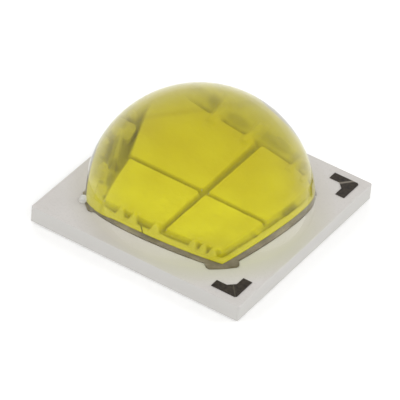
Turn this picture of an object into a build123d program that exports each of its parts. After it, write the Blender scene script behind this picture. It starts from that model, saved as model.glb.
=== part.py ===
from build123d import *
import os

# White power LED: four blue chips under one yellow phosphor coat and one clear silicone dome, on a
# square ceramic base that is soldered down by its underside. Millimetres, +Z up. The origin is the
# centre of the base's outline, at the level of the solder pads' faces. Front is -Y, right is +X.

# Ceramic base
base_side = 7.0
base_thickness = 0.54
base_corner_radius = 0.06
base_edge_break = 0.02

# Silicone dome, a little less than a half sphere, with one small drop of flash at its rim
base_land = 0.21
dome_centre_drop = 0.13
flash_width = 0.26
flash_height = 0.17
flash_shoulder = 0.85
flash_angle = 224.0
flash_stand_off = 0.06

# The printed metal and the moulded dome are this far off the centre of the sawn base
print_shift_x = -0.08
print_shift_y = -0.05

# Contact ring: the plated square that the bond wires land on, with a rounded tab at each corner
top_metal_thickness = 0.03
dome_land = 0.89
ring_width = 0.42
ring_corner_radius = 0.12
tab_width = 0.94
tab_corner = 0.16
tab_proud = 0.04

# Four chips in two rows of two, off the centre of the ring to leave room for the diode
chip_land = 0.32
chip_thickness = 0.1
chip_gap = 0.16
chip_shift_x = 0.15
chip_shift_y = -0.14
die_bond_thickness = 0.015
die_bond_inset = 0.02

# Die pad: the plated square under the chips, with a lug on its left side for the anode's vias
die_pad_margin = 0.04
lug_length = 0.3
lug_width = 0.7
lug_shift = -0.83

# Vias: metal-filled holes that join the top metal to the electrodes below
via_diameter = 0.2
via_pitch = 0.34
via_count = 2
cathode_via_shift = 0.4

# Solder pads under the base: an electrode on each side, from its vias to the margin, and the
# thermal pad between them
solder_pad_thickness = 0.04
solder_pad_margin = 0.3
solder_pad_corner = 0.12
electrode_gap = 0.35
via_land = 0.02

# Surge diode on a tongue of the contact ring, left of the chips
diode_side = 0.38
diode_thickness = 0.12
diode_overhang = 0.05
diode_shift_y = 0.42
tongue_reach = 0.29
tongue_margin = 0.05

# Gold bond wires, each from a foot on a chip to a foot on the ring
wire_diameter = 0.035
wire_sides = 6
wire_rise = 0.04
wire_rise_run = 0.05
wire_shoulder_share = 0.72
wire_shoulder_drop = 0.03
foot_side = 0.08
foot_thickness = 0.022
foot_inset = 0.12
ring_foot_inset = 0.07

# Each wire's place across its chip, from -1 at the chip's left edge to 1 at its right edge
wires_front_left = (-0.33, 0.14, 0.9)
wires_front_right = (0.05, 0.43, 0.8)
wires_back_left = (-0.05, 0.84)
wires_back_right = (0.06, 0.63)

# Phosphor coat over everything inside its square edge
coat_lap = 0.19
coat_thickness = 0.035
coat_edge_cut = 0.02
coat_corner_cut = 0.04

# Dark L-shaped marks on the base's two right corners
mark_thickness = 0.02
mark_margin = 0.28
mark_arm = 0.82
mark_width = 0.29
mark_inner_fill = 0.2
mark_corner_cut = 0.05

# Levels, widths and places worked out from the sizes above
top = solder_pad_thickness + base_thickness
metal_level = top + top_metal_thickness
chip_level = metal_level + die_bond_thickness
chip_top = chip_level + chip_thickness

dome_radius = base_side / 2 - base_land
dome_rim = (dome_radius ** 2 - dome_centre_drop ** 2) ** 0.5
ring_outer = 2 * (dome_radius - dome_land)
ring_inner = ring_outer - 2 * ring_width
tab_reach = dome_rim + tab_proud
coat_side = ring_inner + 2 * coat_lap
chips_side = ring_inner - 2 * chip_land
chip_side = (chips_side - chip_gap) / 2
chip_pitch = chip_side + chip_gap
die_pad_side = chips_side + 2 * die_pad_margin

ring_centre = (print_shift_x, print_shift_y)
chips_centre = (print_shift_x + chip_shift_x, print_shift_y + chip_shift_y)
lug_centre = (chips_centre[0] - die_pad_side / 2 - lug_length / 2, chips_centre[1] + lug_shift)
ring_left = print_shift_x - ring_inner / 2
ring_middle = (ring_inner + ring_outer) / 4
diode_centre = (ring_left + diode_overhang, print_shift_y + diode_shift_y)
electrode_inner = abs(lug_centre[0]) - via_diameter / 2 - via_land
electrode_width = base_side / 2 - solder_pad_margin - electrode_inner
electrode_x = electrode_inner + electrode_width / 2
thermal_pad_width = 2 * (electrode_inner - electrode_gap)
solder_pad_depth = base_side - 2 * solder_pad_margin


def upright(sketch, low, high):
    """A flat outline, drawn at z = 0, as a solid between two levels."""
    return extrude(Pos(0, 0, low) * sketch, high - low)


def rectangle(width, depth, centre, corner=0.0):
    outline = RectangleRounded(width, depth, corner) if corner else Rectangle(width, depth)
    return Pos(*centre) * outline


def cut_square(side, centre, cut):
    """A square with its corners cut off at 45 degrees."""
    square = Rectangle(side, side)
    return Pos(*centre) * chamfer(square.vertices(), cut)


def ceramic_base():
    block = upright(rectangle(base_side, base_side, (0, 0), base_corner_radius), solder_pad_thickness, top)
    rims = block.faces().sort_by(Axis.Z)[0].edges() + block.faces().sort_by(Axis.Z)[-1].edges()
    block = chamfer(rims, base_edge_break)
    for x, y in anode_via_places() + cathode_via_places():
        block -= Pos(x, y, (solder_pad_thickness + top) / 2) * Cylinder(via_diameter / 2, base_thickness)
    return block


def solder_pad(width, x):
    return upright(rectangle(width, solder_pad_depth, (x, 0), solder_pad_corner), 0, solder_pad_thickness)


def via_row(x, y):
    """Centres of one row of vias, in line with Y about its middle."""
    first = -(via_count - 1) / 2
    return [(x, y + (first + i) * via_pitch) for i in range(via_count)]


def anode_via_places():
    return via_row(*lug_centre)


def cathode_via_places():
    return via_row(print_shift_x + ring_middle, print_shift_y + cathode_via_shift)


def via_group(places):
    height = base_thickness
    return Compound([Pos(x, y, solder_pad_thickness + height / 2) * Cylinder(via_diameter / 2, height)
                     for x, y in places])


def die_pad_outline(grow=0.0):
    square = rectangle(die_pad_side + 2 * grow, die_pad_side + 2 * grow, chips_centre)
    lug = rectangle(lug_length + 2 * grow, lug_width + 2 * grow, lug_centre)
    return square + lug


def tongue_outline(grow=0.0):
    """The ring's tongue that the diode stands on, from the ring's body to past the diode."""
    left = print_shift_x - ring_middle
    width = ring_left + tongue_reach - left
    depth = diode_side + 2 * tongue_margin
    return rectangle(width + 2 * grow, depth + 2 * grow, (left + width / 2, diode_centre[1]))


def ring_outline(grow=0.0):
    """The plated square with its corner tabs, open in the middle apart from the diode's tongue."""
    side = ring_outer + 2 * grow
    square = rectangle(side, side, ring_centre, ring_corner_radius)
    reach = Pos(*ring_centre) * Circle(tab_reach + grow)
    cross = RectangleRounded(2 * (tab_reach + grow), tab_width + 2 * grow, tab_corner + grow)
    tabs = Pos(*ring_centre) * (Rot(0, 0, 45) * cross + Rot(0, 0, -45) * cross)
    opening = rectangle(ring_inner - 2 * grow, ring_inner - 2 * grow, ring_centre)
    return ((square + tabs) & reach) - opening + tongue_outline(grow)


def chip_centres():
    half = chip_pitch / 2
    x, y = chips_centre
    return {"front_left": (x - half, y - half), "front_right": (x + half, y - half),
            "back_left": (x - half, y + half), "back_right": (x + half, y + half)}


def die_bond(centre):
    side = chip_side - 2 * die_bond_inset
    return upright(rectangle(side, side, centre), metal_level, chip_level)


def led_chip(centre):
    return upright(rectangle(chip_side, chip_side, centre), chip_level, chip_top)


def surge_diode():
    outline = rectangle(diode_side, diode_side, diode_centre)
    return upright(outline, metal_level, metal_level + diode_thickness)


def wire_ends():
    """Start and end of each bond wire, as the middle of its foot on the metal below it."""
    ends = {}
    rows = {"front_left": wires_front_left, "front_right": wires_front_right,
            "back_left": wires_back_left, "back_right": wires_back_right}
    for corner, shares in rows.items():
        x, y = chip_centres()[corner]
        side = -1 if corner.startswith("front") else 1
        chip_foot = y + side * (chip_side / 2 - foot_inset)
        ring_foot = ring_centre[1] + side * (ring_inner / 2 + ring_foot_inset)
        for number, share in enumerate(shares, 1):
            foot_x = x + share * chip_side / 2
            ends[f"bond_wire_{corner}_{number}"] = (Vector(foot_x, chip_foot, chip_top),
                                                    Vector(foot_x, ring_foot, metal_level))
    ends["diode_wire"] = (Vector(*diode_centre, metal_level + diode_thickness),
                          Vector(lug_centre[0], lug_centre[1] + lug_width / 2 - foot_side, metal_level))
    return ends


def wire_line(start, end, above=0.0):
    """Corners of a bond wire's line, or of the line a given height above it."""
    along = Vector(end.X - start.X, end.Y - start.Y, 0)
    lift = Vector(0, 0, wire_diameter / 2 + above)
    rise = Vector(0, 0, wire_rise)
    shoulder = Vector(0, 0, wire_rise - wire_shoulder_drop)
    return [start + lift, start + along.normalized() * wire_rise_run + lift + rise,
            start + along * wire_shoulder_share + lift + shoulder, end + lift]


def bond_wire(start, end):
    line = Polyline(*wire_line(start, end))
    section = Plane(origin=line @ 0, z_dir=line % 0) * RegularPolygon(wire_diameter / 2, wire_sides)
    wire = sweep(section, line, transition=Transition.RIGHT)
    for foot in (start, end):
        wire += Pos(foot.X, foot.Y, foot.Z + foot_thickness / 2) * Box(foot_side, foot_side, foot_thickness)
    return wire


def wire_cover(start, end):
    """The coat's ridge over one bond wire: it fills the space below the wire too."""
    along = Vector(end.X - start.X, end.Y - start.Y, 0).normalized()
    overhang = along * (foot_side / 2 + coat_thickness)
    line = wire_line(start, end, wire_diameter / 2 + coat_thickness)
    floor = [Vector(end.X, end.Y, top) + overhang, Vector(start.X, start.Y, top) - overhang]
    side = make_face(Polyline(line[0] - overhang, *line[1:3], line[3] + overhang, *floor, close=True))
    return extrude(side, (foot_side + 2 * coat_thickness) / 2, dir=along.cross(Vector(0, 0, 1)), both=True)


def raised(outline, level):
    """The coat's step over a chip: upright sides and a broken top edge."""
    step = upright(outline, top, level)
    return chamfer(step.faces().sort_by(Axis.Z)[-1].edges(), coat_edge_cut)


def coat_envelope(wires):
    """Outer shape of the coat, before what it covers is taken out."""
    square = cut_square(coat_side, ring_centre, coat_corner_cut)
    over_metal = metal_level + coat_thickness
    shape = upright(square, top, top + coat_thickness)
    shape += upright(ring_outline(coat_thickness) & square, top, over_metal)
    shape += upright(die_pad_outline(coat_thickness), top, over_metal)
    grown = chip_side + 2 * coat_thickness
    for centre in chip_centres().values():
        shape += raised(cut_square(grown, centre, coat_corner_cut), chip_top + coat_thickness)
    grown = diode_side + 2 * coat_thickness
    diode_top = metal_level + diode_thickness + coat_thickness
    shape += raised(cut_square(grown, diode_centre, coat_corner_cut), diode_top)
    for start, end in wires.values():
        shape += wire_cover(start, end)
    return shape & upright(square, top, top + base_thickness)


def silicone_dome():
    ball = Pos(*ring_centre, top - dome_centre_drop) * Sphere(dome_radius)
    dome = split(ball, Plane.XY.offset(top), keep=Keep.TOP)
    half = flash_width / 2
    shoulder = (flash_shoulder * half, flash_shoulder * flash_height)
    drop = revolve(Plane.XZ * make_face(Polyline((0, 0), (half, 0), shoulder, (0, flash_height), close=True)))
    return dome + Pos(*ring_centre, top) * Rot(0, 0, flash_angle) * Pos(dome_rim + flash_stand_off, 0, 0) * drop


def corner_mark(side):
    """L-shaped mark with a filled inner corner, in the right corner of the given side."""
    far = base_side / 2 - mark_margin
    near = far - mark_arm
    inner = far - mark_width
    points = [(near, far), (far - mark_corner_cut, far), (far, far - mark_corner_cut), (far, near),
              (inner, near), (inner, inner - mark_inner_fill), (inner - mark_inner_fill, inner), (near, inner)]
    outline = make_face(Polyline(*[(x, side * y) for x, y in points], close=True))
    return upright(outline, top, top + mark_thickness)


def build():
    nodes = {
        "ceramic_base": ceramic_base(),
        "thermal_pad": solder_pad(thermal_pad_width, 0),
        "anode_pad": solder_pad(electrode_width, -electrode_x),
        "cathode_pad": solder_pad(electrode_width, electrode_x),
        "anode_vias": via_group(anode_via_places()),
        "cathode_vias": via_group(cathode_via_places()),
        "die_pad": upright(die_pad_outline(), top, metal_level),
        "contact_ring": upright(ring_outline(), top, metal_level),
        "surge_diode": surge_diode(),
        "corner_mark_front": corner_mark(-1),
        "corner_mark_back": corner_mark(1),
    }
    for corner, centre in chip_centres().items():
        nodes["die_bond_" + corner] = die_bond(centre)
        nodes["led_chip_" + corner] = led_chip(centre)
    wires = wire_ends()
    for name, (start, end) in wires.items():
        nodes[name] = bond_wire(start, end)
    envelope = coat_envelope(wires)
    coat = envelope
    for name, solid in nodes.items():
        if name.startswith(("die_", "contact", "surge", "led_", "bond_", "diode_")):
            coat -= solid
    nodes["phosphor_coat"] = coat
    nodes["silicone_dome"] = silicone_dome() - envelope - nodes["contact_ring"]
    return nodes


os.makedirs("parts", exist_ok=True)
for node, shape in build().items():
    export_step(shape, f"parts/{node}.step")
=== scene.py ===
# %% [markdown]
# # A white power LED
# The part is a surface-mount lamp seven millimetres wide: a fired ceramic plate, a printed metal
# pattern, four chips under one skin of yellow phosphor, and a clear silicone dome moulded over them.
# This lesson dresses the exact CAD frame. Hard, flat pieces keep their CAD shape and get a finish.
# The phosphor skin and the dome are soft and need more shape, so they are built here as new meshes.

# %% Load the frame
from math import cos, pi, radians, sin

import bmesh
import bpy
import numpy as np
from mathutils import Matrix, Vector


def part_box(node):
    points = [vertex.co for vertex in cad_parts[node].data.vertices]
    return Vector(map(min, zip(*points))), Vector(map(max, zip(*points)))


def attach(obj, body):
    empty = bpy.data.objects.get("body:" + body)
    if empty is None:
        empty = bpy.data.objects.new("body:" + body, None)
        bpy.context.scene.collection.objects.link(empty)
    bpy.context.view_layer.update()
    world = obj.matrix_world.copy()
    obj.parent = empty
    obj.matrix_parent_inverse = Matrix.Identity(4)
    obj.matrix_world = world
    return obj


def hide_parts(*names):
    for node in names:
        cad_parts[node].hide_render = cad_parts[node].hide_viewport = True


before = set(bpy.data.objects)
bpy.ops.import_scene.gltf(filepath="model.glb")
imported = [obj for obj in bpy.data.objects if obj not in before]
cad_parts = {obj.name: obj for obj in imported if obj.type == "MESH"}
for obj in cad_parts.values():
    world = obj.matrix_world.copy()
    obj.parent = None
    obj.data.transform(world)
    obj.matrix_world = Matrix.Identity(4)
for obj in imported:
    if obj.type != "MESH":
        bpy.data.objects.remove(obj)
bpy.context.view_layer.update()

MM = 0.001
print("CAD pieces:", len(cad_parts))

# %% [markdown]
# ## The camera
# A product photo of a small part is taken from far away with a long lens, so parallel edges stay
# nearly parallel. The camera looks down at 38 degrees from the front right and is rolled a little.
# The plain way is to build its matrix from three axes: right, up and back.

# %% Place the camera
AZIMUTH = radians(30.17)
ELEVATION = radians(38.46)
ROLL = radians(5.58)
DISTANCE = 113.96 * MM
TARGET = Vector((-0.2768, 0.3230, 0.04)) * MM

back = Vector((sin(AZIMUTH) * cos(ELEVATION), -cos(AZIMUTH) * cos(ELEVATION), sin(ELEVATION)))
level_right = Vector((cos(AZIMUTH), sin(AZIMUTH), 0))
level_up = back.cross(level_right)
right = level_right * cos(ROLL) + level_up * sin(ROLL)
up = level_up * cos(ROLL) - level_right * sin(ROLL)

camera_data = bpy.data.cameras.new("camera")
camera_data.lens = 360
camera_data.sensor_width = 36
camera_data.clip_start = 1 * MM
camera = bpy.data.objects.new("camera", camera_data)
turned = Matrix((right, up, back)).transposed().to_4x4()
camera.matrix_world = Matrix.Translation(TARGET + back * DISTANCE) @ turned
bpy.context.collection.objects.link(camera)
bpy.context.scene.camera = camera
print("camera at", [round(v / MM, 1) for v in camera.location], "mm")

# %% [markdown]
# ## Nodes and colours
# A material is a small graph of nodes. One helper adds a node, sets its own properties and its
# inputs, and links an input when it is given another node's output instead of a number. Another one
# turns the sRGB hex colours that people read off a swatch into the linear values Blender mixes.

# %% Helpers for nodes and colours
def linear(hex_colour):
    """sRGB hex, such as "d0ccc6", to linear red, green, blue and alpha."""
    parts = [int(hex_colour[i:i + 2], 16) / 255 for i in (0, 2, 4)]
    return [c / 12.92 if c <= 0.04045 else ((c + 0.055) / 1.055) ** 2.4 for c in parts] + [1.0]


def add(tree, kind, inputs=None, **settings):
    """Adds one shader node. inputs maps an input's name or number to a value or to an output."""
    node = tree.nodes.new("ShaderNode" + kind)
    for name, value in settings.items():
        setattr(node, name, value)
    for name, value in (inputs or {}).items():
        if isinstance(value, bpy.types.NodeSocket):
            tree.links.new(value, node.inputs[name])
        else:
            node.inputs[name].default_value = value
    return node


print("hex 808080 is", round(linear("808080")[0], 3), "in linear light")

# %% [markdown]
# ### What every finish here needs
# Each finish starts from an empty material whose coordinates are millimetres of the part, so that the
# scale of a pattern is a real size. Its spots are soft noise. Its tones go from one to another as the
# spots, or a distance, go from low to high, and so do numbers, such as a roughness.

# %% Helpers for finishes
def start_material(name):
    """An empty material with its output, and coordinates in millimetres of the part."""
    material = bpy.data.materials.new(name)
    material.use_nodes = True
    tree = material.node_tree
    tree.nodes.clear()
    output = add(tree, "OutputMaterial")
    place = add(tree, "TexCoord").outputs["Object"]
    mm = add(tree, "VectorMath", {0: place, "Scale": 1 / MM}, operation="SCALE").outputs["Vector"]
    return material, tree, output, mm


def speckle(tree, mm, size, detail=3.0, seed=0.0):
    """Soft noise with spots of about the given size in millimetres, from 0 to 1."""
    shifted = add(tree, "VectorMath", {0: mm, 1: (seed, seed, seed)}).outputs[0]
    inputs = {"Vector": shifted, "Scale": 1 / (2 * size), "Detail": detail}
    return add(tree, "TexNoise", inputs).outputs["Fac"]


def blend(tree, factor, first, second, low=0.3, high=0.7):
    """Goes from first to second, two numbers or two colours, as factor goes from low to high."""
    numbers = isinstance(first, (int, float))
    ends = {"To Min": first, "To Max": second} if numbers else {}
    share = add(tree, "MapRange", {0: factor, "From Min": low, "From Max": high, **ends}).outputs[0]
    if numbers:
        return share
    mix = add(tree, "Mix", {"Factor": share}, data_type="RGBA")
    for socket, colour in ((mix.inputs[6], first), (mix.inputs[7], second)):
        if isinstance(colour, bpy.types.NodeSocket):
            tree.links.new(colour, socket)
        else:
            socket.default_value = linear(colour)
    return mix.outputs[2]

# %% [markdown]
# ## Painted shade and light round the dome
# All round the dome's foot the ceramic plate is a little darker, partly painted shade of the dome and
# partly a thin film of silicone. To the dome's right painted light from the phosphor tints the plate
# faintly green, fading outwards. Both depend on the distance from the dome's centre, and the green one
# on the direction too. A helper works out the two shares, and the ceramic's finish below uses them.

# %% Find the places round the dome
MINUS_DOME_CENTRE = (0.08, 0.05, -0.45)
TO_THE_RIGHT = (0.8, -0.6, 0)


def film_shade_and_glow(tree, mm):
    """How much silicone film and painted shade, and how much painted light of the phosphor, at each
    point.
    """
    outward = add(tree, "VectorMath", {0: mm, 1: MINUS_DOME_CENTRE}, operation="ADD").outputs["Vector"]
    distance = add(tree, "VectorMath", {0: outward}, operation="LENGTH").outputs["Value"]
    rightward = add(tree, "VectorMath", {0: outward, 1: TO_THE_RIGHT}, operation="DOT_PRODUCT")
    film_and_shade = blend(tree, distance, 0.55, 0.0, 3.3, 3.9)
    near = blend(tree, distance, 1.0, 0.0, 3.2, 4.1)
    facing = blend(tree, rightward.outputs["Value"], 0.0, 1.0, 1.2, 3.2)
    glow = add(tree, "Math", {0: near, 1: facing}, operation="MULTIPLY").outputs[0]
    return film_and_shade, glow


print("dome's centre at", [-v for v in MINUS_DOME_CENTRE], "mm")

# %% [markdown]
# ## Fired ceramic
# The base is a plate of fired aluminium-oxide ceramic, cast as a tape, fired and then sawn. Its grains
# are a few microns wide, far below what shows, and are drawn at 30 microns. The eye sees a pale warm
# grey with a soft sheen and only broad, weak clouds. The sawn sides are a little whiter and carry fine
# upright scratches; the fired top has none. The mesh's own normal tells top from side, so one material
# can do both.

# %% Make the ceramic
def fired_ceramic():
    material, tree, output, mm = start_material("fired_alumina_ceramic")
    clouds = speckle(tree, mm, 0.9)
    grain = speckle(tree, mm, 0.03, 6, 4)
    film_and_shade, glow = film_shade_and_glow(tree, mm)
    colour = blend(tree, clouds, "cac6c2", "d3cfcc")
    colour = blend(tree, grain, "c8c4c0", colour, 0.28, 0.5)
    # Painted shade with the silicone film at the dome's foot, then painted light of the phosphor to its
    # right
    colour = blend(tree, film_and_shade, colour, "b9b4a7", 0, 1)
    colour = blend(tree, glow, colour, "c6c5b0", 0, 1)
    normal = add(tree, "NewGeometry").outputs["Normal"]
    upward = add(tree, "SeparateXYZ", {0: normal}).outputs["Z"]
    side = add(tree, "Math", {0: upward, 1: 0.5}, operation="LESS_THAN").outputs[0]
    colour = blend(tree, side, colour, "cbc9c5", 0, 1)
    stretched = add(tree, "VectorMath", {0: mm, 1: (1, 1, 0.06)}, operation="MULTIPLY").outputs[0]
    scratches = speckle(tree, stretched, 0.02, 2, 9)
    relief = add(tree, "Bump", {"Height": grain, "Distance": 0.002 * MM}).outputs[0]
    cut_depth = add(tree, "Math", {0: scratches, 1: side}, operation="MULTIPLY").outputs[0]
    relief = add(tree, "Bump", {"Height": cut_depth, "Distance": 0.006 * MM, "Normal": relief}).outputs[0]
    rough = blend(tree, clouds, 0.42, 0.55)
    shader = add(tree, "BsdfPrincipled", {"Base Color": colour, "Roughness": rough, "IOR": 1.6,
                                          "Specular IOR Level": 0.35, "Normal": relief})
    tree.links.new(shader.outputs[0], output.inputs["Surface"])
    return material


CERAMIC = fired_ceramic()
print("ceramic made of", len(CERAMIC.node_tree.nodes), "nodes")

# %% [markdown]
# ## Printed and plated metals
# Every metal here is a thin film: silver over nickel for the pattern, gold flash on the solder pads,
# copper in the vias, gold wire. A film has no grain of its own and copies the ceramic below, so it
# looks satin and slightly blotched. One function makes them all from two colours, a roughness and the
# size of the blotches.

# %% Make the metals
def metal_film(name, light, dark, roughness, blotch_mm, relief_mm):
    material, tree, output, mm = start_material(name)
    blotches = speckle(tree, mm, blotch_mm, 3, 2)
    grain = speckle(tree, mm, blotch_mm / 6, 3, 7)
    colour = blend(tree, blotches, dark, light)
    rough = blend(tree, grain, roughness - 0.08, roughness + 0.08)
    relief = add(tree, "Bump", {"Height": grain, "Distance": relief_mm * MM}).outputs[0]
    shader = add(tree, "BsdfPrincipled", {"Base Color": colour, "Metallic": 1.0, "Roughness": rough,
                                          "Normal": relief})
    tree.links.new(shader.outputs[0], output.inputs["Surface"])
    return material


METALS = {
    "plated_silver": metal_film("plated_silver", "a49b82", "746b52", 0.4, 0.3, 0.003),
    "gold_flash": metal_film("gold_flash", "e3c07a", "cfa862", 0.32, 0.2, 0.003),
    "copper_fill": metal_film("copper_fill", "c98a68", "a86a4c", 0.4, 0.05, 0.002),
    "gold_tin_solder": metal_film("gold_tin_solder", "c9b98c", "a99a72", 0.45, 0.06, 0.002),
    "drawn_gold": metal_film("drawn_gold", "f0cf83", "e0b863", 0.2, 0.02, 0.0005),
}
print("metals:", len(METALS))

# %% [markdown]
# ## Chips and diode
# An LED chip is gallium nitride with an etched, frosted top; the surge diode is diced silicon. Both
# are smooth and glossy where they are sawn. They share one shape of material, a dielectric with a fine
# two-tone speckle, and differ in colour, gloss and index.

# %% Make the chips' finish
def speckled_solid(name, light, dark, roughness, spot_mm, relief_mm, ior):
    material, tree, output, mm = start_material(name)
    spots = speckle(tree, mm, spot_mm, 4, 3)
    colour = blend(tree, spots, dark, light, 0.35, 0.65)
    rough = blend(tree, spots, roughness - 0.06, roughness + 0.06)
    relief = add(tree, "Bump", {"Height": spots, "Distance": relief_mm * MM}).outputs[0]
    shader = add(tree, "BsdfPrincipled", {"Base Color": colour, "Roughness": rough, "IOR": ior,
                                          "Normal": relief})
    tree.links.new(shader.outputs[0], output.inputs["Surface"])
    return material


SOLIDS = {
    "etched_nitride": speckled_solid("etched_nitride", "7f8790", "656d78", 0.35, 0.02, 0.002, 2.3),
    "diced_silicon": speckled_solid("diced_silicon", "45464c", "33343a", 0.25, 0.04, 0.001, 3.4),
}
print("solids:", len(SOLIDS))

# %% [markdown]
# ## Printed glaze
# The dark marks are a matt printed glaze that soaks into the ceramic, a brown black with paler, thinner
# spots. One pale scratch crosses each mark, a fine one in front and a wide one at the back. A scratch
# is a straight line in plan, so it is found by its distance: across the line, from the part's centre.

# %% Make the printed glaze
SCRATCHES = (  # direction across the line, its distance from the centre, tone, half width
    ((0.763, 0.646, 0), 0.363, "4d493f", 0.02),
    ((-0.781, 0.624, 0), -0.358, "7f786e", 0.05))


def printed_glaze():
    material, tree, output, mm = start_material("printed_glaze")
    spots = speckle(tree, mm, 0.05, 4, 3)
    colour = blend(tree, spots, "1a1613", "383128", 0.35, 0.65)
    for across, offset, tone, half_width in SCRATCHES:
        place = add(tree, "VectorMath", {0: mm, 1: across}, operation="DOT_PRODUCT").outputs["Value"]
        away = add(tree, "Math", {0: place, 1: offset}, operation="SUBTRACT").outputs[0]
        away = add(tree, "Math", {0: away}, operation="ABSOLUTE").outputs[0]
        colour = blend(tree, away, tone, colour, half_width / 4, half_width)
    relief = add(tree, "Bump", {"Height": spots, "Distance": 0.004 * MM}).outputs[0]
    shader = add(tree, "BsdfPrincipled", {"Base Color": colour, "Roughness": 0.65, "IOR": 1.5,
                                          "Specular IOR Level": 0.35, "Normal": relief})
    tree.links.new(shader.outputs[0], output.inputs["Surface"])
    return material


GLAZE = printed_glaze()
print("scratches in the glaze:", len(SCRATCHES))

# %% [markdown]
# ## Dress the CAD pieces
# A piece whose CAD shape is right only needs its finish, so its material slot is filled and nothing
# else is touched. The table below reads like a parts list: what each node is made of.

# %% Give each CAD piece its finish
FINISH = {"ceramic_base": CERAMIC, "die_pad": METALS["plated_silver"],
          "contact_ring": METALS["plated_silver"], "surge_diode": SOLIDS["diced_silicon"]}
BEGINNINGS = {"die_bond": METALS["gold_tin_solder"], "led_chip": SOLIDS["etched_nitride"],
              "corner_mark": GLAZE}
ENDINGS = {"_pad": METALS["gold_flash"], "_vias": METALS["copper_fill"]}


def finish_of(node):
    for beginning, finish in BEGINNINGS.items():
        if node.startswith(beginning):
            return finish
    for ending, finish in ENDINGS.items():
        if node.endswith(ending) and node not in FINISH:
            return finish
    return FINISH.get(node, METALS["drawn_gold"])


for node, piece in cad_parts.items():
    for slot in piece.material_slots:
        slot.material = finish_of(node)
print("dressed:", len(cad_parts), "pieces")

# %% [markdown]
# ## The phosphor skin, as a height over a plan
# Phosphor powder in silicone is laid over the finished chips and cured. It is one soft skin: it
# follows each chip, the trench around them, the ring, the diode and the wires, with every step rounded.
# A skin like this is a height for each point of a square plan, so it is built as a fine grid whose
# heights come from a few rules. Boxes with bevels would give the steps too, but not how they melt into
# each other. The sizes are read from the CAD pieces, so the skin always fits what it covers.

# %% Measure what the skin covers
def box_mm(node):
    low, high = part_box(node)
    return np.array(low) / MM, np.array(high) / MM


coat_low, coat_high = box_mm("phosphor_coat")
pad = box_mm("die_pad")
diode = box_mm("surge_diode")
chips = [box_mm(node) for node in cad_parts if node.startswith("led_chip")]
chips_low, chips_high = np.min([c[0] for c in chips], 0), np.max([c[1] for c in chips], 0)
CERAMIC_TOP = box_mm("ceramic_base")[1][2]
METAL_TOP = pad[1][2]
CHIP_TOP = chips_high[2]
SKIN = 0.035
print("skin square", np.round(coat_high - coat_low, 3), "mm, chip top at", round(float(CHIP_TOP), 3))

# %% [markdown]
# ### Rules for the height
# Each covered thing raises the skin inside its own outline. The signed distance to a rectangle, made
# smooth at its edge, gives one soft step, and the highest step wins at each point. Even noise, a few
# microns high, stands for powder that never lies quite flat; it is drawn from numbered seeds, so it is
# the same on every run.

# %% Make the grid and the rules
CELLS = 300
LEFT_RUN = 0.14

grid_x = np.linspace(coat_low[0] - LEFT_RUN, coat_high[0], CELLS + 1)
grid_y = np.linspace(coat_low[1], coat_high[1], CELLS + 1)
X, Y = np.meshgrid(grid_x, grid_y, indexing="ij")
border = np.minimum.reduce([X - grid_x[0], grid_x[-1] - X, Y - grid_y[0], grid_y[-1] - Y])


def inside(low, high, corner=0.05):
    """Distance in from the edge of a rectangle with round corners, negative outside."""
    middle, half = (low[:2] + high[:2]) / 2, (high[:2] - low[:2]) / 2 - corner
    dx, dy = np.abs(X - middle[0]) - half[0], np.abs(Y - middle[1]) - half[1]
    outside = np.hypot(np.maximum(dx, 0), np.maximum(dy, 0))
    return corner - outside - np.minimum(np.maximum(dx, dy), 0)


def soft_step(distance, width=0.05):
    """0 below zero, 1 beyond the width, and a smooth slope between."""
    share = np.clip(distance / width, 0, 1)
    return share * share * (3 - 2 * share)


def smooth_noise(seed, cell_mm):
    """Even noise from -1 to 1 with bumps of about cell_mm."""
    count = int((grid_x[-1] - grid_x[0]) / cell_mm) + 5
    values = np.random.default_rng(seed).uniform(-1, 1, (count, count))
    u, v = (X - grid_x[0]) / cell_mm, (Y - grid_y[0]) / cell_mm + 1
    i, j = u.astype(int), v.astype(int)
    fu, fv = soft_step(u - i, 1), soft_step(v - j, 1)
    near = values[i, j] * (1 - fu) + values[i + 1, j] * fu
    far = values[i, j + 1] * (1 - fu) + values[i + 1, j + 1] * fu
    return near * (1 - fv) + far * fv


print("grid step", round(float(grid_x[1] - grid_x[0]) * 1000), "microns")

# %% [markdown]
# ### Where the coat ran out
# The wet coat ran out a little over the ring at the left and at the left end of the front, so the
# metal band looks thinner there. At the left the grid is simply wider. In front its border is pulled
# outwards, more and more towards the left, and the rows behind it follow less and less.

# %% Pull the front border out
FRONT_RUN = 0.14
FRONT_RUN_FROM = -0.9
FRONT_RUN_LENGTH = 0.8
FRONT_RUN_DEPTH = 0.25

pulled = soft_step(FRONT_RUN_FROM - X, FRONT_RUN_LENGTH)
Y = Y - FRONT_RUN * pulled * soft_step(grid_y[0] + FRONT_RUN_DEPTH - Y, FRONT_RUN_DEPTH)
print("front border now at", round(float(Y.min()), 3), "mm")

# %% [markdown]
# ### What lies under the skin
# From below: the ring with its square opening, the die pad, the chips and the diode. Each one raises
# the skin a little beyond its own edge, as a wet coat rounds every corner, and the outlines waver by a
# hundredth of a millimetre. Behind the chips and left of them the powder drifted before it cured: the
# ring's step is softer there, and at the back left the powder slumped over the chips' edge.

# %% Lay the skin over ring, die pad, chips and diode
RING_INNER = 3.96
OPENING_WIDER = 0.05
RING_EASE, RING_EASE_DRIFTED = 0.05, 0.2
RING_LAP_DRIFTED = 0.08
WAVER, WAVER_FINE = 0.012, 0.006
LAP = 0.06
CHIP_EASE = 0.07
CHIP_DRIFT = (0, 0.05)
DRIFT_LAP, DRIFT_EASE = 0.05, 0.2
DRIFT_FROM, DRIFT_LENGTH = -1.5, 0.7
SLUMP = 0.2
SLUMP_FROM, SLUMP_LENGTH = -0.3, 1.2
SLUMP_EDGE, SLUMP_END = 0.12, 0.35

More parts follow.
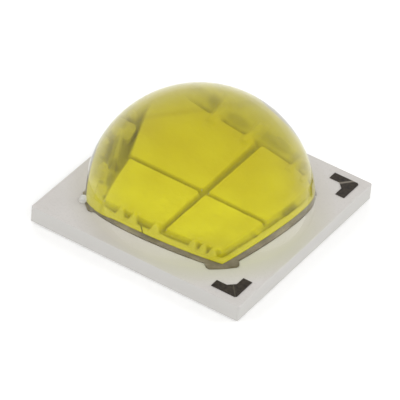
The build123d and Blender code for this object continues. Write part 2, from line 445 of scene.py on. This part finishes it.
ring_centre = (coat_low[:2] + coat_high[:2]) / 2
waver = WAVER * smooth_noise(21, 0.3) + WAVER_FINE * smooth_noise(22, 0.1)
opening_low = ring_centre - RING_INNER / 2
opening_high = ring_centre + (RING_INNER / 2 + OPENING_WIDER, RING_INNER / 2)
opening = inside(opening_low, opening_high) - SKIN + 2 * waver

at_back = soft_step(Y - chips_high[1] + DRIFT_LAP, DRIFT_EASE)
at_left = soft_step(chips_low[0] - X + DRIFT_LAP, DRIFT_EASE) * soft_step(Y - DRIFT_FROM, DRIFT_LENGTH)
drifted = np.maximum(at_back, at_left)
slump = SLUMP * np.clip((Y - SLUMP_FROM) / SLUMP_LENGTH, 0, 1) * soft_step(chips_high[1] - Y, SLUMP_END)
slump *= soft_step(chips_low[0] + SLUMP_EDGE - X, SLUMP_EDGE)

over_each_chip = [soft_step(inside(low[:2], high[:2] + CHIP_DRIFT) + LAP + slump + waver / 2, CHIP_EASE)
                  for low, high in chips]
over_chips = np.max(over_each_chip, 0)
over_diode = soft_step(inside(*diode) + LAP)
over_pad = soft_step(inside(*pad) + LAP)
over_ring = 1 - soft_step(opening + RING_LAP_DRIFTED * drifted, RING_EASE + RING_EASE_DRIFTED * drifted)

floor_level = CERAMIC_TOP + SKIN
height = floor_level + (METAL_TOP - CERAMIC_TOP) * over_ring
for share, top in ((over_pad, METAL_TOP), (over_chips, CHIP_TOP), (over_diode, diode[1][2])):
    height = np.maximum(height, floor_level + (top - CERAMIC_TOP) * share)
print("height from", round(float(height.min()), 3), "to", round(float(height.max()), 3), "mm")

# %% [markdown]
# ### Powder behind the chips
# The powder settled towards the back. It fills the trench behind the chips by a tenth of a millimetre,
# and in the far corner it reaches the chips' own level, so that corner looks cut off.

# %% Fill the trench behind the chips and the far corner
BACK_FILL = 0.11
FILL_LAP, FILL_EASE = 0.03, 0.18
DIAGONAL = 0.7071
FAR_CORNER, FAR_CORNER_EASE = 1.75, 0.35
CORNER_BORDER = 0.3

fill = BACK_FILL * soft_step(Y - chips_high[1] + FILL_LAP, FILL_EASE)
height = np.maximum(height, floor_level + fill)
to_far_corner = (Y - X) * DIAGONAL
far_corner = soft_step(to_far_corner - FAR_CORNER, FAR_CORNER_EASE)
corner_fill = (CHIP_TOP - CERAMIC_TOP) * far_corner * soft_step(border, CORNER_BORDER)
height = np.maximum(height, floor_level + corner_fill)
print("far corner fills", round(float(far_corner.mean()) * 100, 1), "% of the skin")

# %% [markdown]
# ### Ridges over the wires
# A bond wire leaves its foot on the chip, rises at once, runs level past the chip's edge and bends down
# to the ring. Powder hangs on it and fills below it, so it shows as a low ridge that widens downwards.
# The diode's wire lies deep in the shade and carries only a thin skin.

# %% Add the wires' ridges
WIRE = 0.035
FOOT = 0.08
RISE_RUN = 0.05
SHOULDER = 0.72
SHOULDER_DROP = 0.03
KNEE = 0.9
KNEE_SHARE, KNEE_RISE = 0.36, 0.01
WIRE_SKIN = 0.012
HALF_AT_START, HALF_GAIN = 0.6, 0.5
FLANK, THIN_FLANK = 0.11, 0.06
THIN_SHARE = 0.2


def wire_ends(node):
    """Plan of a wire's first and last foot, and the levels of its start and crown, from its CAD box."""
    low, high = box_mm(node)
    near, far = low[:2] + FOOT / 2, high[:2] - FOOT / 2
    if node == "diode_wire":
        return np.array([near[0], far[1]]), np.array([far[0], near[1]]), diode[1][2], high[2]
    if node.startswith("bond_wire_front"):
        return far, near, CHIP_TOP, high[2]
    return near, far, CHIP_TOP, high[2]


ridges = np.zeros_like(X)
for node in [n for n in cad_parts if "wire" in n]:
    start, end, start_level, crown = wire_ends(node)
    run = np.hypot(*(end - start))
    along = ((X - start[0]) * (end[0] - start[0]) + (Y - start[1]) * (end[1] - start[1])) / run
    across = np.abs((X - start[0]) * (end[1] - start[1]) - (Y - start[1]) * (end[0] - start[0])) / run
    end_level = METAL_TOP + WIRE
    knee = end_level + KNEE_SHARE * (crown - SHOULDER_DROP - end_level) + KNEE_RISE
    crest = np.interp(along / run, [0, RISE_RUN / run, SHOULDER, KNEE, 1],
                      [start_level + WIRE, crown, crown - WIRE_SKIN, knee, end_level]) + WIRE_SKIN
    thin = node == "diode_wire"
    half_width = WIRE * (HALF_AT_START + HALF_GAIN * np.clip(along / run, 0, 1))
    width = 1 - soft_step(across - half_width, THIN_FLANK if thin else FLANK)
    length = soft_step(np.minimum(along, run - along) + FOOT, FLANK)
    ridge = width * length
    height = np.maximum(height, height + (crest - height) * ridge)
    ridges = np.maximum(ridges, ridge * (THIN_SHARE if thin else 1))
print("ridges cover", round(float(ridges.mean()) * 100, 1), "% of the skin")

# %% [markdown]
# ### Lumps and unevenness
# Powder gathers in lumps beside the diode, on the lug and along the back, and the skin runs thin at
# its border. Each lump is a soft ellipse with a place, two half widths and a rise, all measured on the
# real part, where the trench closes and opens. The powder lies calmer on the chips, which are flat.

# %% Add the lumps
LUMPS = (  # x, y, half width in x and in y, and rise, in mm
    (-2.02, -0.86, 0.17, 0.16, 0.15), (-2.20, -0.02, 0.10, 0.12, 0.05), (-1.97, -0.76, 0.13, 0.10, 0.08),
    (-2.02, -1.75, 0.16, 0.30, 0.03), (-2.12, -1.42, 0.12, 0.14, 0.06), (-2.05, 1.00, 0.14, 0.20, 0.07),
    (-1.95, 0.75, 0.09, 0.08, 0.05), (-2.15, -0.38, 0.09, 0.08, 0.06), (-1.30, 1.80, 0.35, 0.12, 0.06),
    (0.40, 1.78, 0.30, 0.10, 0.04), (1.62, 1.86, 0.30, 0.12, 0.06))
LUMP_REACH, LUMP_EASE, LUMP_WAVER = 1.25, 0.7, 6
POWDER, POWDER_CALMER, POWDER_FINE = 0.006, 0.004, 0.0015
BORDER_DROP, BORDER_EASE = 0.02, 0.06

for x, y, half_x, half_y, rise in LUMPS:
    reach = np.hypot((X - x) / half_x, (Y - y) / half_y) + LUMP_WAVER * waver
    lump = soft_step(LUMP_REACH - reach, LUMP_EASE) * (1 - over_chips) * (1 - over_diode)
    height += rise * lump

powder = (POWDER - POWDER_CALMER * over_chips) * smooth_noise(11, 0.09)
height += powder + POWDER_FINE * smooth_noise(12, 0.035)
height -= BORDER_DROP * (1 - soft_step(border, BORDER_EASE))
print("lumps:", len(LUMPS))

# %% [markdown]
# ### The shade in the trench
# The finish needs to know three kinds of place, so each becomes a number on every point of the skin.
# The first is how deep a point lies in the chips' shade. On the right the shade comes and goes where
# the trench closes and opens; on the left the trench is wide and darkest beside the diode.

# %% Mark the shade
RIGHT_SHADE = ((-2.1, 0.85), (-0.75, 0.85), (-0.6, 1.2), (-0.52, 0.3), (-0.42, 0.3), (-0.34, 0.8),
               (0.36, 0.8), (0.44, 1.7), (0.8, 1.7), (0.9, 0.3), (1.5, 0.1))
LEFT_WIDTH = ((-1.3, 0.05), (-1.0, 0.2), (-0.75, 0.26), (-0.6, 0.42), (-0.1, 0.5), (0.45, 0.3),
              (1.2, 0.22))
LEFT_SHADE = ((-1.6, 0.5), (-1.3, 1.1), (-0.7, 1.0), (-0.45, 1.25), (0.95, 1.25), (1.15, 0.6),
              (1.6, 0.4))
SHADE_EASE = 0.08
LEFT_END, LEFT_END_EASE, LEFT_KEPT = -1.5, 0.2, 0.15
RIDGE_LIGHT, DRIFTED_RIDGE_LIGHT = 0.95, 0.5
DIODE_BARE, DIODE_IN_SHADE = 0.2, 0.55
DRIFTED_LEFT_SHADE, DRIFTED_BACK_SHADE = 0.95, 0.65
PATCHY, PATCHY_NOISE = 0.75, 0.35
NEAR_CHIPS, NEAR_EASE = 0.06, 0.12
LEFT_LAP, LEFT_INNER_EASE = 0.06, 0.06
LEFT_SHORT, LEFT_OUTER_EASE = 0.04, 0.12
FAR_CORNER_SHADE = 0.45


def along_y(table):
    """For each point the value at its y, from a table of y and value."""
    places, values = zip(*table)
    return np.interp(Y, places, values)


bare = (1 - over_chips) * (1 - (1 - DIODE_BARE) * over_diode)
patchy = PATCHY + PATCHY_NOISE * smooth_noise(31, 0.25)
trench = soft_step(opening, SHADE_EASE) * np.where(X > chips_high[0], along_y(RIGHT_SHADE), 1.0)
trench *= 1 - (1 - LEFT_KEPT) * soft_step(LEFT_END - X, LEFT_END_EASE)
open_trench = trench * (1 - RIDGE_LIGHT * ridges) * (1 - drifted)
near_chips = 1 - soft_step(Y - chips_high[1] - NEAR_CHIPS, NEAR_EASE)
filled_trench = drifted * patchy * np.where(X < chips_low[0], DRIFTED_LEFT_SHADE, DRIFTED_BACK_SHADE)
well = bare * np.maximum(open_trench, filled_trench * (1 - DRIFTED_RIDGE_LIGHT * ridges * near_chips))

beside = chips_low[0] - X
beyond = beside - along_y(LEFT_WIDTH) + LEFT_SHORT
left_trench = soft_step(beside + LEFT_LAP, LEFT_INNER_EASE) * (1 - soft_step(beyond, LEFT_OUTER_EASE))
left_trench *= along_y(LEFT_SHADE)
well = np.maximum(well, (1 - over_chips) * (1 - (1 - DIODE_IN_SHADE) * over_diode) * left_trench)
well = well * (1 - far_corner) + FAR_CORNER_SHADE * far_corner
print("deepest shade:", round(float(well.max()), 2))

# %% [markdown]
# ### The bright strip and the dark spots
# The second kind of place is the strip over the ring, whose metal shines through the thin coat. The
# third is dark: painted shade in spots where the trench is deepest and along a faint crease across the
# far corner, the mottled diode, and one hairline crack in the front strip.

# %% Mark the bright strip and the dark spots
# Spots of painted shade where the trench is deepest
SHADE_SPOTS = (  # x, y, half width in x and in y, in mm, and how dark
    (1.81, 0.60, 0.11, 0.25, 0.4), (1.83, 0.05, 0.06, 0.36, 0.25), (1.86, -0.60, 0.05, 0.09, 0.4),
    (1.83, -1.40, 0.05, 0.65, 0.25), (-1.72, 0.30, 0.12, 0.60, 0.28), (-1.79, -0.55, 0.12, 0.14, 0.5),
    (-1.96, -0.25, 0.22, 0.42, 0.18), (-1.90, -1.14, 0.09, 0.09, 0.35), (-1.64, -1.60, 0.08, 0.09, 0.35),
    (-1.74, -0.95, 0.08, 0.25, 0.3), (-0.98, 1.72, 0.14, 0.10, 0.32), (-0.52, 1.69, 0.24, 0.10, 0.28),
    (0.30, 1.73, 0.42, 0.14, 0.26), (0.95, 1.73, 0.34, 0.14, 0.24), (-0.45, -1.96, 0.22, 0.08, 0.32),
    (0.48, -1.97, 0.36, 0.07, 0.28), (-1.25, -1.97, 0.25, 0.06, 0.2))
CRACK_X, CRACK_Y = -0.44, -2.02
CRACK_SLANT = 0.65
CRACK_HALF, CRACK_EASE = 0.01, 0.015
CRACK_TOP = -2.0
CREASE, CREASE_EASE, CREASE_SHADE = 1.83, 0.09, 0.12
DIODE_DARK, DIODE_MOTTLE = 0.22, 0.14
SHADE_SPOT_CORE, SHADE_SPOT_EASE, SHADE_SPOT_RIDGE_LIGHT = 0.5, 0.8, 0.7

bright = bare * (1 - soft_step(opening, SHADE_EASE)) * (1 - drifted)
from_crack = np.abs(X - CRACK_X + CRACK_SLANT * (Y - CRACK_Y))
crack = (1 - soft_step(from_crack - CRACK_HALF, CRACK_EASE)) * (Y < CRACK_TOP)
# Painted shade along a faint crease across the far corner
crease_shade = 1 - soft_step(np.abs(to_far_corner - CREASE), CREASE_EASE)
dark = np.maximum(crack, CREASE_SHADE * crease_shade)
dark = np.maximum(dark, over_diode * (DIODE_DARK + DIODE_MOTTLE * smooth_noise(41, 0.12)))
# Painted shade in spots, lighter over the ridges
for x, y, half_x, half_y, share in SHADE_SPOTS:
    reach = np.hypot((X - x) / half_x, (Y - y) / half_y)
    shade_spot = share * (1 - soft_step(reach - SHADE_SPOT_CORE, SHADE_SPOT_EASE))
    dark = np.maximum(dark, shade_spot * bare * (1 - SHADE_SPOT_RIDGE_LIGHT * ridges))
print("dark spots:", len(SHADE_SPOTS), "brightest strip:", round(float(bright.max()), 2))

# %% [markdown]
# ### From heights to a closed mesh
# The grid of heights is the top. A skirt drops from its border into the ceramic, and one large face
# closes it below, so the piece is a solid like the real skin's outer shape. The skirt ends a few
# microns inside the ceramic: two faces at the same place would flicker.

# %% Turn the heights into a mesh
BURIED = 0.005


def new_piece(name, vertices, faces, material):
    mesh = bpy.data.meshes.new(name)
    mesh.from_pydata(vertices, [], faces)
    mesh.update()
    piece = bpy.data.objects.new(name, mesh)
    bpy.context.collection.objects.link(piece)
    mesh.materials.append(material)
    return piece


def skin_mesh():
    n = CELLS + 1
    vertices = np.stack([X, Y, height], -1).reshape(-1, 3)
    faces = [(i * n + j, (i + 1) * n + j, (i + 1) * n + j + 1, i * n + j + 1)
             for i in range(CELLS) for j in range(CELLS)]
    rim = [i * n for i in range(n)] + [CELLS * n + j for j in range(1, n)]
    rim += [i * n + CELLS for i in range(CELLS - 1, -1, -1)] + [j for j in range(CELLS - 1, 0, -1)]
    foot = vertices[rim].copy()
    foot[:, 2] = CERAMIC_TOP - BURIED
    first = len(vertices)
    count = len(rim)
    for k in range(count):
        after = (k + 1) % count
        faces.append((rim[k], first + k, first + after, rim[after]))
    faces.append(tuple(first + k for k in reversed(range(count))))
    return (np.concatenate([vertices, foot]) * MM).tolist(), faces


skin_points, skin_faces = skin_mesh()
print("skin points:", len(skin_points))

# %% [markdown]
# ## Cured phosphor
# Yellow phosphor is a powder of garnet grains about 15 microns wide, bound in silicone. The powder
# scatters, so the skin is nearly matt and strongly yellow. Painted shade makes it darker and more
# mustard towards the back, lighter and greener in front, broken by large random clouds. Over the bright
# ring it looks paler, in the chips' painted shade darker, and the dark places, mostly painted shade, are
# nearly olive: the three kinds of place come in as the numbers on the skin's points. Grains are drawn
# at 25 microns so that they show.

# %% Make the phosphor
TO_THE_BACK = (-0.35, 0.95, 0)
# The well tone is painted shade, the dark tone mostly painted shade, the bright one the ring's metal
# below
PLACE_TONES = (("bright", "c1b93a", 1.25), ("well", "a1981f", 1.2), ("dark", "565010", 1))


def cured_phosphor():
    material, tree, output, mm = start_material("cured_garnet_phosphor")
    pools = speckle(tree, mm, 0.45, 2, 1)
    grain = speckle(tree, mm, 0.025, 4, 5)
    # Painted shade: darker and more mustard towards the back, lighter and greener in front, with random
    # clouds
    front = blend(tree, pools, "bab010", "cac31a")
    shaded_rear = blend(tree, pools, "aa9c0a", "b5aa10")
    slope = add(tree, "VectorMath", {0: mm, 1: TO_THE_BACK}, operation="DOT_PRODUCT").outputs["Value"]
    clouds = blend(tree, speckle(tree, mm, 0.9, 2, 6), -1.2, 1.2, 0, 1)
    back_shade_and_clouds = add(tree, "Math", {0: slope, 1: clouds}, operation="ADD").outputs[0]
    colour = blend(tree, back_shade_and_clouds, front, shaded_rear, -1.0, 1.3)
    colour = blend(tree, grain, "b0a50c", colour, 0.3, 0.5)
    for name, tone, full in PLACE_TONES:
        share = add(tree, "Attribute", attribute_name=name).outputs["Fac"]
        colour = blend(tree, share, colour, tone, 0, full)
    relief = add(tree, "Bump", {"Height": grain, "Distance": 0.004 * MM}).outputs[0]
    shader = add(tree, "BsdfPrincipled", {"Base Color": colour, "Roughness": 0.6, "IOR": 1.41,
                                          "Specular IOR Level": 0.12, "Normal": relief})
    tree.links.new(shader.outputs[0], output.inputs["Surface"])
    return material


skin = new_piece("phosphor_skin", skin_points, skin_faces, cured_phosphor())
skin.data.shade_smooth()
for name, values in (("well", well), ("bright", bright), ("dark", dark)):
    shares = np.zeros(len(skin.data.vertices), dtype=np.float32)
    shares[:values.size] = values.ravel()
    skin.data.attributes.new(name, "FLOAT", "POINT").data.foreach_set("value", shares)
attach(skin, "root")
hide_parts("phosphor_coat")
print("skin faces:", len(skin.data.polygons))

# %% [markdown]
# ## The silicone dome
# The dome is cast in a mould, so it is a true sphere down to its rim, clear and very smooth. It acts
# as a lens, and what is seen through it is only right if its curve is right. So it has many more
# facets than an opaque ball would need, and its rim stays a sharp edge. Like the skin it goes a few
# microns into the ceramic.

# %% Build the dome
DOME_RADIUS = 3.29
DOME_DROP = 0.13
RIM_RADIUS = (DOME_RADIUS ** 2 - DOME_DROP ** 2) ** 0.5


def dome_piece(material):
    centre = Vector((*ring_centre, CERAMIC_TOP - DOME_DROP)) * MM
    shape = bmesh.new()
    bmesh.ops.create_uvsphere(shape, u_segments=256, v_segments=160, radius=DOME_RADIUS * MM)
    bmesh.ops.translate(shape, vec=centre, verts=shape.verts)
    foot = Vector((0, 0, (CERAMIC_TOP - BURIED) * MM))
    everything = shape.verts[:] + shape.edges[:] + shape.faces[:]
    cut = bmesh.ops.bisect_plane(shape, geom=everything, plane_co=foot, plane_no=(0, 0, 1),
                                 clear_inner=True)
    rim = [e for e in cut["geom_cut"] if isinstance(e, bmesh.types.BMEdge)]
    bmesh.ops.edgeloop_fill(shape, edges=rim)
    mesh = bpy.data.meshes.new("silicone_lens")
    shape.to_mesh(mesh)
    shape.free()
    piece = bpy.data.objects.new("silicone_lens", mesh)
    bpy.context.collection.objects.link(piece)
    mesh.materials.append(material)
    return piece


print("dome rim radius", round(RIM_RADIUS, 3), "mm")

# %% [markdown]
# ## Clear silicone
# Optical silicone is water clear, with an index near 1.47. A glass shader would cast hard, noisy light
# spots on the phosphor, so lamps' shadow rays pass straight through: on the real part the light is so
# soft that no such spots are seen. Cured silicone is tacky and holds a bloom of fine dust, which shows
# where the surface turns away from the eye: a little sheen gives that pale rim. Dust settles from
# above, so the sheen grows with the height over the solder pads.

# %% Make the silicone
def clear_silicone():
    material, tree, output, mm = start_material("clear_optical_silicone")
    level = add(tree, "SeparateXYZ", {0: mm}).outputs["Z"]
    bloom = blend(tree, level, 0.21, 0.33, 1.2, 2.7)
    glass = add(tree, "BsdfPrincipled", {"Base Color": linear("fffffc"), "Roughness": 0.0, "IOR": 1.47,
                                         "Transmission Weight": 1.0, "Specular Tint": linear("bcbcbc"),
                                         "Sheen Weight": bloom, "Sheen Roughness": 0.35,
                                         "Sheen Tint": linear("fbfaf2")})
    clear = add(tree, "BsdfTransparent", {"Color": linear("fafaf6")})
    shadow = add(tree, "LightPath").outputs["Is Shadow Ray"]
    mix = add(tree, "MixShader", {0: shadow, 1: glass.outputs[0], 2: clear.outputs[0]})
    tree.links.new(mix.outputs[0], output.inputs["Surface"])
    return material


lens = dome_piece(clear_silicone())
lens.data.shade_smooth()
lens.data.set_sharp_from_angle(angle=radians(40))
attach(lens, "root")
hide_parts("silicone_dome")
print("lens faces:", len(lens.data.polygons))

# %% [markdown]
# ## The drop of flash
# Where the mould let a drop of silicone out, a small bead cured against air at the dome's rim. It is a
# short profile turned about an upright axis: rings of points that shrink as they rise to its tip.

# %% Build the drop
DROP_RADIUS = 0.13
DROP_HEIGHT = 0.17
DROP_OUT = 0.06
DROP_ANGLE = radians(224)
DROP_SIDES = 32
DROP_RINGS = 9


def bead_mesh():
    outward = Vector((cos(DROP_ANGLE), sin(DROP_ANGLE), 0))
    place = Vector((*ring_centre, 0)) + outward * (RIM_RADIUS + DROP_OUT)
    angles = np.linspace(0, pi / 2, DROP_RINGS + 1)[:-1]
    profile = [(1.0, -BURIED)] + [(cos(a) ** 0.6, DROP_HEIGHT * sin(a)) for a in angles]
    turns = [(cos(2 * pi * k / DROP_SIDES), sin(2 * pi * k / DROP_SIDES)) for k in range(DROP_SIDES)]
    vertices = []
    for share, rise in profile:
        reach = DROP_RADIUS * share
        vertices += [(place.x + reach * c, place.y + reach * d, CERAMIC_TOP + rise) for c, d in turns]
    vertices.append((place.x, place.y, CERAMIC_TOP + DROP_HEIGHT))
    around = [(k, (k + 1) % DROP_SIDES) for k in range(DROP_SIDES)]
    last = (len(profile) - 1) * DROP_SIDES
    faces = []
    for low in range(0, last, DROP_SIDES):
        high = low + DROP_SIDES
        faces += [(low + k, low + after, high + after, high + k) for k, after in around]
    faces += [(last + k, last + after, len(vertices) - 1) for k, after in around]
    faces.append(tuple(reversed(range(DROP_SIDES))))
    return (np.array(vertices) * MM).tolist(), faces


bead_points, bead_faces = bead_mesh()
print("bead points:", len(bead_points))

# %% [markdown]
# ## Milky silicone
# The drop is the dome's silicone, full of fine bubbles, so it lets a little light through and scatters
# the
# rest: it looks milky white, with slightly darker and lighter spots, and the white is partly a painted
# highlight for the glint on the bead.

# %% Make the milky silicone
def milky_silicone_with_painted_glint():
    material, tree, output, mm = start_material("milky_flash_painted_glint")
    bubbles = speckle(tree, mm, 0.03, 3, 8)
    # Near-white colour: milky silicone, and partly a painted highlight for the bead's glint
    colour = blend(tree, bubbles, "d9d8d0", "f0efe9")
    relief = add(tree, "Bump", {"Height": bubbles, "Distance": 0.004 * MM}).outputs[0]
    shader = add(tree, "BsdfPrincipled", {"Base Color": colour, "Roughness": 0.3, "IOR": 1.41,
                                          "Transmission Weight": 0.25, "Normal": relief})
    tree.links.new(shader.outputs[0], output.inputs["Surface"])
    return material


bead = new_piece("flash_bead", bead_points, bead_faces, milky_silicone_with_painted_glint())
bead.data.shade_smooth()
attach(bead, "root")
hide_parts("silicone_dome")
print("bead faces:", len(bead.data.polygons))

# %% [markdown]
# ## The tent
# The part is photographed in a light tent, which is a weak white world here. It looks white to the
# camera, also through the dome, while the light it gives the part stays low. Three outputs of the
# light-path node, joined by their maximum, tell what the camera sees from what only lights the part.

# %% Light the world
def seen_directly(tree):
    """1 for what the camera sees, also through the dome, and 0 for light that falls on the part."""
    path = add(tree, "LightPath").outputs
    seen = path["Is Camera Ray"]
    for other in ("Is Glossy Ray", "Is Transmission Ray"):
        seen = add(tree, "Math", {0: seen, 1: path[other]}, operation="MAXIMUM").outputs[0]
    return seen


TENT_LIGHT = 0.3

world = bpy.data.worlds.new("light_tent")
world.use_nodes = True
tree = world.node_tree
tree.nodes.clear()
strength = blend(tree, seen_directly(tree), TENT_LIGHT, 1.0, 0, 1)
tent = add(tree, "Background", {"Color": (1, 1, 1, 1), "Strength": strength})
tree.links.new(tent.outputs[0], add(tree, "OutputWorld").inputs["Surface"])
bpy.context.scene.world = world
print("tent light:", TENT_LIGHT)

# %% [markdown]
# ## The floor
# The floor is a sheet of white paper that keeps the part's shadow, with a weak glow that only the
# camera sees. It lies ten microns below the solder pads, as two faces at the same place would flicker.

# %% Lay the floor
FLOOR_GLOW = 0.3
FLOOR_HALF = 400 * MM
FLOOR_LEVEL = -0.01 * MM


def floor_material():
    material, tree, output, mm = start_material("white_sweep")
    paper = speckle(tree, mm, 2.0)
    colour = blend(tree, paper, "eeeeed", "f1f1f0")
    matt = add(tree, "BsdfDiffuse", {"Color": colour})
    glow = add(tree, "Emission", {"Strength": blend(tree, seen_directly(tree), 0.0, FLOOR_GLOW, 0, 1)})
    both = add(tree, "AddShader", {0: matt.outputs[0], 1: glow.outputs[0]})
    tree.links.new(both.outputs[0], output.inputs["Surface"])
    return material


floor_corners = [(x, y, FLOOR_LEVEL) for x, y in ((-FLOOR_HALF, -FLOOR_HALF), (FLOOR_HALF, -FLOOR_HALF),
                                                  (FLOOR_HALF, FLOOR_HALF), (-FLOOR_HALF, FLOOR_HALF))]
floor = new_piece("floor", floor_corners, [(0, 1, 2, 3)], floor_material())
print("floor at", round(FLOOR_LEVEL / MM, 3), "mm")

# %% [markdown]
# ## Softboxes
# A softbox is a square lamp as wide as a forearm is long, so the shadows it gives a part of seven
# millimetres have no edge. Four of them stand at the corners of the set, all at one height, and the one
# at the back right is the strongest.

# %% Place the lamps
BOX_SIZE = 250
BOX_DISTANCE = 300
BOX_RADIANCES = (2.25, 1.55, 2.05, 2.0)
BOX_ELEVATION = radians(29)


def softbox(name, azimuth, elevation, radiance):
    """A square lamp that faces the part. The dome doesn't mirror it, as a tent hides its lamps."""
    lamp = bpy.data.lights.new(name, "AREA")
    lamp.size = BOX_SIZE * MM
    lamp.energy = pi * (BOX_SIZE * MM) ** 2 * radiance
    box = bpy.data.objects.new(name, lamp)
    outward = Vector((cos(azimuth) * cos(elevation), sin(azimuth) * cos(elevation), sin(elevation)))
    box.location = outward * BOX_DISTANCE * MM
    box.rotation_euler = outward.to_track_quat("Z", "Y").to_euler()
    box.visible_glossy = False
    box.visible_transmission = False
    bpy.context.collection.objects.link(box)


for number, radiance in enumerate(BOX_RADIANCES):
    softbox(f"softbox_{number}", radians(45 + 90 * number), BOX_ELEVATION, radiance)
print("softboxes:", len(BOX_RADIANCES))

# %% [markdown]
# ## Finish
# The standard view transform shows colours as they are set.

# %% Finish
scene = bpy.context.scene
scene.view_settings.view_transform = "Standard"
